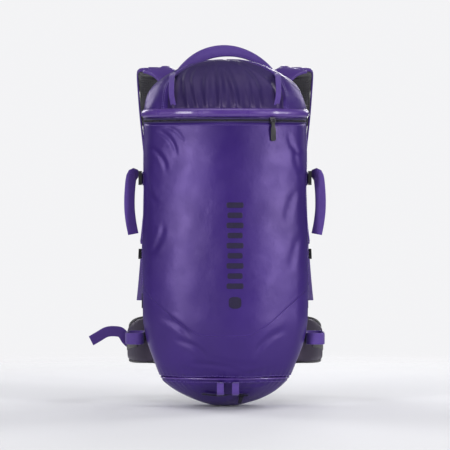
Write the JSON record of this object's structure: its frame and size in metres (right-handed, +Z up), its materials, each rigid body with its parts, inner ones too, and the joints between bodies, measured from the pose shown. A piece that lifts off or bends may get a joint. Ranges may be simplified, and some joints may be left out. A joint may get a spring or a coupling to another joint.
{
  "type": "ski touring backpack",
  "caption": "Tall rounded ski backpack with side ski carry, fold-down front tool pocket, grab handle, padded back panel, shoulder straps and hip belt.",
  "frame": {"origin": "centre of the lumbar pad's flat face, where the pack rests on the wearer's back", "axes": "+Z up along the back, +X to the wearer's right, +Y from the bag towards the wearer"},
  "size_m": [0.4239, 0.4405, 0.6311],
  "materials": {
    "shell_fabric": "coated nylon, semi-gloss",
    "hood_fabric": "thin ripstop, matte",
    "base_fabric": "heavy coated nylon, semi-gloss",
    "web_purple": "woven polyamide webbing",
    "web_black": "woven polyamide webbing",
    "mesh_black": "spacer mesh, matte",
    "strap_shell": "matte nylon over foam",
    "belt_shell": "matte nylon over foam",
    "lining": "thin lining fabric",
    "zip_black": "moulded coil and coated tape",
    "buckle_black": "moulded acetal, satin",
    "frame_plastic": "extruded sheet",
    "stay_metal": "drawn bar, satin"
  },
  "bodies": {
    "pack": {"main_bag": "shell_fabric", "bottom_boot": "base_fabric", "top_hood": "hood_fabric", "storm_flap": "shell_fabric", "front_zip_chain": "zip_black", "stash_zip_chain": "zip_black", "back_zip_chain": "zip_black", "pocket_divider": "lining", "tool_sleeve": "lining", "tool_loop_left": "web_purple", "tool_loop_right": "web_purple", "lash_loop_left": "web_purple", "lash_loop_right": "web_purple", "frame_sheet": "frame_plastic", "stay_left": "stay_metal", "stay_right": "stay_metal", "back_foam": "mesh_black", "back_pad_left": "mesh_black", "back_pad_right": "mesh_black", "lumbar_pad": "mesh_black", "ski_loop_left": "web_purple", "ski_loop_right": "web_purple", "strap_catch_left": "web_purple", "strap_catch_right": "web_purple", "shoulder_yoke_left": "strap_shell", "shoulder_yoke_right": "strap_shell", "strap_anchor_left": "web_purple", "strap_anchor_right": "web_purple"},
    "front_flap": {"front_flap": "shell_fabric", "flap_zip_chain": "zip_black"},
    "front_zip_slider": {"front_zip_slider": "zip_black"},
    "front_zip_pull": {"front_zip_pull": "web_purple"},
    "back_zip_slider": {"back_zip_slider": "zip_black"},
    "back_zip_pull": {"back_zip_pull": "web_black"},
    "stash_zip_slider": {"stash_zip_slider": "zip_black"},
    "haul_loop": {"haul_loop": "web_purple"},
    "ski_strap_left": {"ski_strap_left": "web_purple", "ski_strap_hook_left": "buckle_black"},
    "shoulder_strap_left": {"shoulder_pad_left": "strap_shell", "shoulder_webbing_left": "web_purple", "sternum_rail_left": "web_black"},
    "ladder_lock_left": {"ladder_lock_left": "buckle_black"},
    "ski_strap_right": {"ski_strap_right": "web_purple", "ski_strap_hook_right": "buckle_black"},
    "shoulder_strap_right": {"shoulder_pad_right": "strap_shell", "shoulder_webbing_right": "web_purple", "sternum_rail_right": "web_black"},
    "ladder_lock_right": {"ladder_lock_right": "buckle_black"},
    "sternum_strap_left": {"sternum_strap_left": "web_black", "sternum_buckle_female": "buckle_black"},
    "sternum_strap_right": {"sternum_strap_right": "web_black", "sternum_buckle_male": "buckle_black"},
    "hip_wing_left": {"hip_pad_left": "belt_shell", "hip_webbing_left": "web_black", "hip_buckle_female": "buckle_black", "hip_webbing_tail": "web_purple"},
    "hip_wing_right": {"hip_pad_right": "belt_shell", "hip_webbing_right": "web_black", "hip_buckle_male": "buckle_black"}
  },
  "joints": [
    {"name": "front_flap_fold", "type": "hinge", "parent": "pack", "child": "front_flap", "pos_m": [0, -0.1943, 0.03], "axis": [1, 0, 0], "range_deg": [0, 75]},
    {"name": "front_zip_travel", "type": "hinge", "parent": "front_flap", "child": "front_zip_slider", "pos_m": [0, 0.04411, 0.3826], "axis": [0, 0, -1], "range_deg": [0, 40.5]},
    {"name": "front_zip_pull_swing", "type": "hinge", "parent": "front_zip_slider", "child": "front_zip_pull", "pos_m": [0.08227, -0.17691, 0.3826], "axis": [0.9372, 0.3488, 0], "range_deg": [-110, 0]},
    {"name": "back_zip_travel", "type": "slide", "parent": "pack", "child": "back_zip_slider", "axis": [0, 0, -1], "range_m": [0, 0.29]},
    {"name": "back_zip_pull_swing", "type": "hinge", "parent": "back_zip_slider", "child": "back_zip_pull", "pos_m": [0.116, -0.0102, 0.372], "axis": [1, 0, 0], "range_deg": [0, 110]},
    {"name": "stash_zip_travel", "type": "hinge", "parent": "pack", "child": "stash_zip_slider", "pos_m": [0, -0.01967, -0.08829], "axis": [0, 0, -1], "range_deg": [0, 26]},
    {"name": "haul_loop_swing", "type": "hinge", "parent": "pack", "child": "haul_loop", "pos_m": [0, -0.011, 0.458], "axis": [1, 0, 0], "range_deg": [-35, 8]},
    {"name": "ski_strap_swing_left", "type": "hinge", "parent": "pack", "child": "ski_strap_left", "pos_m": [-0.147, -0.03, 0.285], "axis": [0, 0, -1], "range_deg": [0, 80]},
    {"name": "shoulder_strap_swing_left", "type": "hinge", "parent": "pack", "child": "shoulder_strap_left", "pos_m": [-0.126, 0.078, 0.482], "axis": [1, 0, 0], "range_deg": [0, 15]},
    {"name": "ladder_lock_tilt_left", "type": "hinge", "parent": "shoulder_strap_left", "child": "ladder_lock_left", "pos_m": [-0.1427, 0.1188, 0.1572], "axis": [1, 0, 0], "range_deg": [-30, 0]},
    {"name": "sternum_height_left", "type": "slide", "parent": "shoulder_strap_left", "child": "sternum_strap_left", "axis": [0.0921, 0.1842, -0.9786], "range_m": [-0.03, 0.03]},
    {"name": "hip_wing_swing_left", "type": "hinge", "parent": "pack", "child": "hip_wing_left", "pos_m": [-0.118, -0.004, 0], "axis": [0, 0, 1], "range_deg": [0, 30]},
    {"name": "ski_strap_swing_right", "type": "hinge", "parent": "pack", "child": "ski_strap_right", "pos_m": [0.147, -0.03, 0.285], "axis": [0, 0, 1], "range_deg": [0, 80]},
    {"name": "shoulder_strap_swing_right", "type": "hinge", "parent": "pack", "child": "shoulder_strap_right", "pos_m": [0.126, 0.078, 0.482], "axis": [1, 0, 0], "range_deg": [0, 15]},
    {"name": "ladder_lock_tilt_right", "type": "hinge", "parent": "shoulder_strap_right", "child": "ladder_lock_right", "pos_m": [0.1427, 0.1188, 0.1572], "axis": [1, 0, 0], "range_deg": [-30, 0]},
    {"name": "sternum_height_right", "type": "slide", "parent": "shoulder_strap_right", "child": "sternum_strap_right", "axis": [-0.0921, 0.1842, -0.9786], "range_m": [-0.03, 0.03]},
    {"name": "hip_wing_swing_right", "type": "hinge", "parent": "pack", "child": "hip_wing_right", "pos_m": [0.118, -0.004, 0], "axis": [0, 0, -1], "range_deg": [0, 30]}
  ]
}
